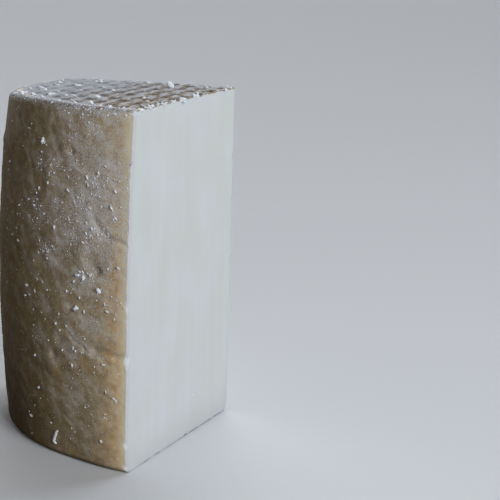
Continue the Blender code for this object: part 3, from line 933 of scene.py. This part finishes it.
def fallen(count, sizes, power):
    """Places on the rind where crumbs lie, their ups and their sizes."""
    chosen = random.choice(rind_count, count, p=density)
    offset = random.uniform(-0.3, 0.3, (count, 3)) * MM
    offset -= face_ups[chosen] * np.sum(offset * face_ups[chosen], axis=1, keepdims=True)
    size = sizes[0] + (sizes[1] - sizes[0]) * random.uniform(0, 1, count) ** power
    return centres[chosen] + offset, face_ups[chosen], size


dust_shapes, dust_triangles = lump_shapes(0, 12, 0.5, 1)
curd_dust = scatter(
    "curd_dust", *fallen(DUST_COUNT, DUST_SIZE, 1.8), dust_shapes, dust_triangles, 0.1)
crumb_shapes, crumb_triangles = lump_shapes(1, 16, 0.5, 2)
curd_crumbs = scatter(
    "curd_crumbs", *fallen(CRUMB_COUNT, CRUMB_SIZE, 2.4), crumb_shapes, crumb_triangles, 0.2)

# ------------------------------------------------------------
# The larger scraps of dry curd, one to three millimetres wide: they lie on the rind and the
# top, and along the edges that the knife pulled them out of. One is a flake that stands on
# its edge, and one a curled paring near the base.

# In mm: along the rind, height and size.
SCRAPS_ON_SIDE = (
    (40, 107, 1.9), (39, 106, 0.9), (20, 65, 1.5), (18.9, 65.8, 0.9), (17.4, 64, 1.4),
    (21.6, 62, 1.2), (14.5, 65.5, 0.9), (15.5, 65.7, 0.7), (11, 60.5, 2.1), (20, 53.5, 1.8),
    (16.5, 53.2, 0.9), (19, 57.5, 1.0), (47, 56.5, 1.0), (48, 53, 1.0), (54, 71, 1.1),
    (60, 72, 0.9), (40.7, 90.5, 1.2), (42, 89, 0.8), (43, 84.5, 0.9), (35.5, 93, 1.1),
    (25.5, 92, 1.0), (21, 90, 0.9), (28, 87.5, 1.0), (6, 94, 1.0), (7, 88, 1.2), (5.5, 85, 0.9),
    (29.5, 47, 1.0), (27.5, 45, 1.0), (42, 33, 1.0), (40.5, 22, 1.1), (47.5, 10, 1.2),
    (34.5, 11, 0.8), (10, 10, 1.2), (5, 25.5, 1.0), (4, 24.7, 0.9), (8, 27, 0.8),
    (22, 34, 1.0), (8.5, 57, 1.0), (7.5, 54, 1.1), (9, 36, 1.1), (54, 83, 0.8),
    (24.5, 58.5, 0.9), (33, 97, 0.8), (31, 79, 1.0), (14, 81, 0.9), (17, 97, 1.0),
    (12.5, 99, 1.0), (10, 101, 0.8), (3.5, 69, 1.1),
)
# In mm: across and along the top from the nose, and size.
SCRAPS_ON_TOP = (
    (-8.6, -6.5, 1.5), (-0.7, -33.6, 2.0), (-2.1, -1.4, 1.5),
    (-50.1, -26.1, 2.4), (-61.7, -46.3, 1.9), (-56.4, -54.1, 1.7), (-51.2, -55, 1.5),
    (-44.1, -62, 1.8), (-45.8, -52.8, 2.0), (-66.3, -30.9, 1.7), (-60.4, -35.2, 2.1),
    (-61.1, -19.2, 1.5), (-36.6, -53.9, 1.6), (-39.1, -55.7, 1.9), (-30, -66.7, 1.3),
    (-33.6, -69.5, 1.3), (-21, -69.6, 1.5), (-50.5, -9.8, 2.0), (-40.2, -25.8, 1.5),
    (-31.8, -34.8, 1.8), (-27.2, -53.7, 2.0), (-10.5, -77.6, 1.3), (-11.5, -50.2, 1.2),
    (-6.8, -58.1, 1.3), (-7.2, -74.1, 1.1), (-4.1, -67.1, 1.1), (-70, -16, 1.3),
    (-66, -8, 1.2), (-0.9, -12, 1.1), (-0.9, -51, 1.2), (-34, -0.9, 1.3), (-57, -1.2, 1.2),
    (-48, -44, 1.4), (-54, -43, 1.3), (-58, -27, 1.3), (-43, -38, 1.2), (-49, -60, 1.1),
    (-68, -38, 1.2), (-63, -50, 1.0), (-26, -72, 1.2), (-15, -76, 1.1),
    (-0.3, -76, 1.5), (-0.4, -71.5, 1.1), (-0.2, -69, 1.6), (-0.7, -66.6, 1.2),
    (-0.1, -63.5, 1.2), (-0.5, -60, 1.3), (-0.2, -57.8, 1.0), (-0.2, -52.4, 1.2),
    (-0.1, -46.2, 1.4), (-0.1, -44.6, 1.8), (-0.3, -35.5, 0.9),
    (-0.3, -27, 0.9), (-0.3, -15, 0.9), (-0.2, -7.4, 1.7), (-0.4, -3.0, 1.0),
)
# In mm: along the front cut from the nose, height and size.
SCRAPS_ON_CUT = ((-31.4, 15.2, 0.8), (-31.2, 13.9, 1.0), (-30.9, 12.7, 1.2), (-22.3, 12.4, 0.7))
# The paring's path in mm: along the rind and height.
PARING = ((30.4, 9.2), (31.0, 8.4), (31.7, 7.4), (32.4, 6.4), (33.0, 5.4), (33.1, 4.6),
          (32.5, 4.1), (31.6, 4.2))
PARING_WIDTH = 0.52 * MM
PARING_RINGS = 36
RIM_POINTS = 14
# A lump's half width as a share of its scrap's size: on the side, the top and the cut.
SIZE_SHARES = (0.39, 0.54, 0.35)
surface = moved + np.array(NOSE)


def on_wedge(place_in_mm):
    """The nearest point of the wedge's surface to a place in mm from the axis."""
    nearest = np.argmin(np.sum((moved - np.array(place_in_mm) * MM) ** 2, axis=1))
    return surface[nearest], normals[nearest]


def on_side_at(along, height):
    """The rind's surface at a distance along it and a height, in mm."""
    turn = along * MM / WAIST_RADIUS
    r = barrel_radius(height * MM) / MM
    return on_wedge((-r * math.sin(turn), -r * math.cos(turn), height))


def on_top_at(x, y):
    """The top's surface at a place in mm from the axis."""
    return on_wedge((x, y, (HEIGHT + dome(x * MM, y * MM)) / MM - 0.3))


held = [on_side_at(along, height) for along, height, _ in SCRAPS_ON_SIDE]
held += [on_top_at(x, y) for x, y, _ in SCRAPS_ON_TOP]
held += [on_wedge((0, y, height)) for y, height, _ in SCRAPS_ON_CUT]
sizes = np.array([
    share * scrap[2] * MM
    for share, scraps in zip(SIZE_SHARES, (SCRAPS_ON_SIDE, SCRAPS_ON_TOP, SCRAPS_ON_CUT))
    for scrap in scraps])
scrap_shapes, scrap_triangles = lump_shapes(2, 12, 0.85, 3)
scraps = scatter(
    "curd_scraps", [spot for spot, _ in held], [up for _, up in held], sizes,
    scrap_shapes, scrap_triangles, 0.3)

# One flake stands on its edge near the back cut.
FLAKE_AT = (-18.5, -15.0)
FLAKE_HALVES = (1.75 * MM, 0.8 * MM, 1.0 * MM)
flake_shapes, flake_triangles = lump_shapes(3, 1, 0.25, 1)
flake_foot, _ = on_top_at(*FLAKE_AT)
flake_corners = flake_shapes[0] / np.abs(flake_shapes[0]).max(axis=0)
flake_corners = np.sign(flake_corners) * np.abs(flake_corners) ** 0.65 * FLAKE_HALVES
flake_turn = Euler((0.15, math.radians(38), math.radians(14))).to_matrix()
flake_corners = flake_corners @ np.array(flake_turn).T
flake_corners = flake_corners + flake_foot - (0, 0, flake_corners[:, 2].min() + 0.3 * MM)
flake = new_piece("curd_flake", flake_corners, flake_triangles.tolist())

# The paring is a thin round shaving, thicker in its middle, that curls at its lower end.
path = [on_side_at(*place_on_rind) for place_on_rind in PARING]
tread = np.array([spot + up * 0.75 * PARING_WIDTH for spot, up in path])
at = np.linspace(0, len(tread) - 1, PARING_RINGS)
tread = np.stack([np.interp(at, range(len(path)), tread[:, axis]) for axis in range(3)], -1)
for _ in range(4):
    tread[1:-1] = (tread[:-2] + 2 * tread[1:-1] + tread[2:]) / 4
outward = np.array(path[3][1])
rims = []
for index, spot in enumerate(tread):
    ahead = tread[min(index + 1, PARING_RINGS - 1)] - tread[max(index - 1, 0)]
    across = np.cross(outward, ahead)
    across = across / np.linalg.norm(across)
    taper = math.sqrt(max(1 - abs(2 * index / (PARING_RINGS - 1) - 1) ** 6, 0.05))
    for turn in np.linspace(0, 2 * math.pi, RIM_POINTS, endpoint=False):
        ripple = 1 + 0.12 * math.sin(3 * turn + 0.5 * index) + 0.06 * math.sin(1.9 * index)
        reach = PARING_WIDTH * taper * ripple
        rims.append(
            spot + reach * (math.cos(turn) * across + 0.7 * math.sin(turn) * outward))
ring_ids = np.arange(PARING_RINGS * RIM_POINTS).reshape(PARING_RINGS, RIM_POINTS)
ring_ids = np.concatenate([ring_ids, ring_ids[:, :1]], axis=1)
paring_faces = quads(ring_ids).tolist()
paring_faces.append(ring_ids[0, :-1].tolist())
paring_faces.append(ring_ids[-1, -2::-1].tolist())
paring = new_piece("curd_paring", rims, paring_faces)

for piece in (curd_dust, curd_crumbs, scraps, flake, paring):
    piece.data.materials.append(dry_curd)
    piece.data.shade_smooth()
    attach(piece, "root")

# ------------------------------------------------------------
# The stage: a plain pale floor that throws back little light, a large soft light low on the
# right, one high behind for the top and the floor, a faint low one behind, and a fainter one
# on the left for the rind.
FLOOR_HALF = 30.0
FLOOR_DROP = 0.02 * MM
floor = new_piece("floor", [
    (x * FLOOR_HALF, y * FLOOR_HALF, -FLOOR_DROP)
    for x, y in ((-1, -1), (1, -1), (1, 1), (-1, 1))], [(0, 1, 2, 3)])
# Matt pale paper: an even tone without a shine.
floor_paint, tree, shader = new_material("matt_pale_paper")
seen = add_node(tree, "ShaderNodeLightPath", {}, "Is Camera Ray")
set_inputs(tree, shader, {
    "Base Color": add_node(
        tree, "ShaderNodeMix", {0: seen, 6: "#606060", 7: "#dadada"},
        2, data_type="RGBA"),
    "Roughness": 0.9,
})
floor.data.materials.append(floor_paint)


# Each light: its kind, width in m or spread in radians, strength, colour, and where it shines
# from: azimuth in degrees, 0 at -Y and 90 at +X, elevation, and distance in m.
for name, kind, width, spread, energy, colour, azimuth, elevation, distance in (
    ("soft_box", "AREA", "size", 0.9, 40.0, "#f2f8ff", 55, 18, 2.2),
    ("high_soft_light", "SUN", "angle", math.radians(50), 1.5, "#f0f6ff", 178, 50, 1.6),
    ("low_soft_light", "SUN", "angle", math.radians(40), 1.1, "#f8f9fa", 214, 14, 1.6),
    ("left_fill", "SUN", "angle", math.radians(60), 0.28, "#fffaf4", -55, 38, 1.6),
):
    light_data = bpy.data.lights.new(name, kind)
    setattr(light_data, width, spread)
    light_data.energy = energy
    light_data.color = linear(colour)[:3]
    light = bpy.data.objects.new(name, light_data)
    light.rotation_euler = (math.radians(90 - elevation), 0, math.radians(azimuth))
    away = light.rotation_euler.to_matrix() @ Vector((0, 0, distance))
    light.location = Vector((0, 0, HEIGHT / 2)) + away
    light.visible_camera = False
    bpy.context.scene.collection.objects.link(light)

world = bpy.data.worlds.new("studio")
world.use_nodes = True
tree = world.node_tree
seen = add_node(tree, "ShaderNodeLightPath", {}, "Is Camera Ray")
set_inputs(tree, tree.nodes["Background"], {
    "Color": add_node(
        tree, "ShaderNodeMix", {0: seen, 6: "#303338", 7: "#abafb3"},
        2, data_type="RGBA"),
})
bpy.context.scene.world = world
bpy.context.scene.view_settings.view_transform = "Standard"

# The camera: a long lens at the height of a person looking down a little at a table.
CAMERA_FROM_AXIS = Vector((1.905, -4.494, 1.484)) * HEIGHT
YAW = math.radians(22.28)
PITCH = math.radians(11.29)
ROLL = math.radians(1.64)
LENS = 116.6
camera_data = bpy.data.cameras.new("camera")
camera_data.sensor_width = 36
camera_data.lens = LENS
camera = bpy.data.objects.new("camera", camera_data)
bpy.context.scene.collection.objects.link(camera)
camera.matrix_world = (
    Matrix.Translation(NOSE + CAMERA_FROM_AXIS) @ Matrix.Rotation(YAW, 4, "Z")
    @ Matrix.Rotation(math.pi / 2 - PITCH, 4, "X") @ Matrix.Rotation(ROLL, 4, "Z"))
camera_data.clip_start = 0.01
bpy.context.scene.camera = camera
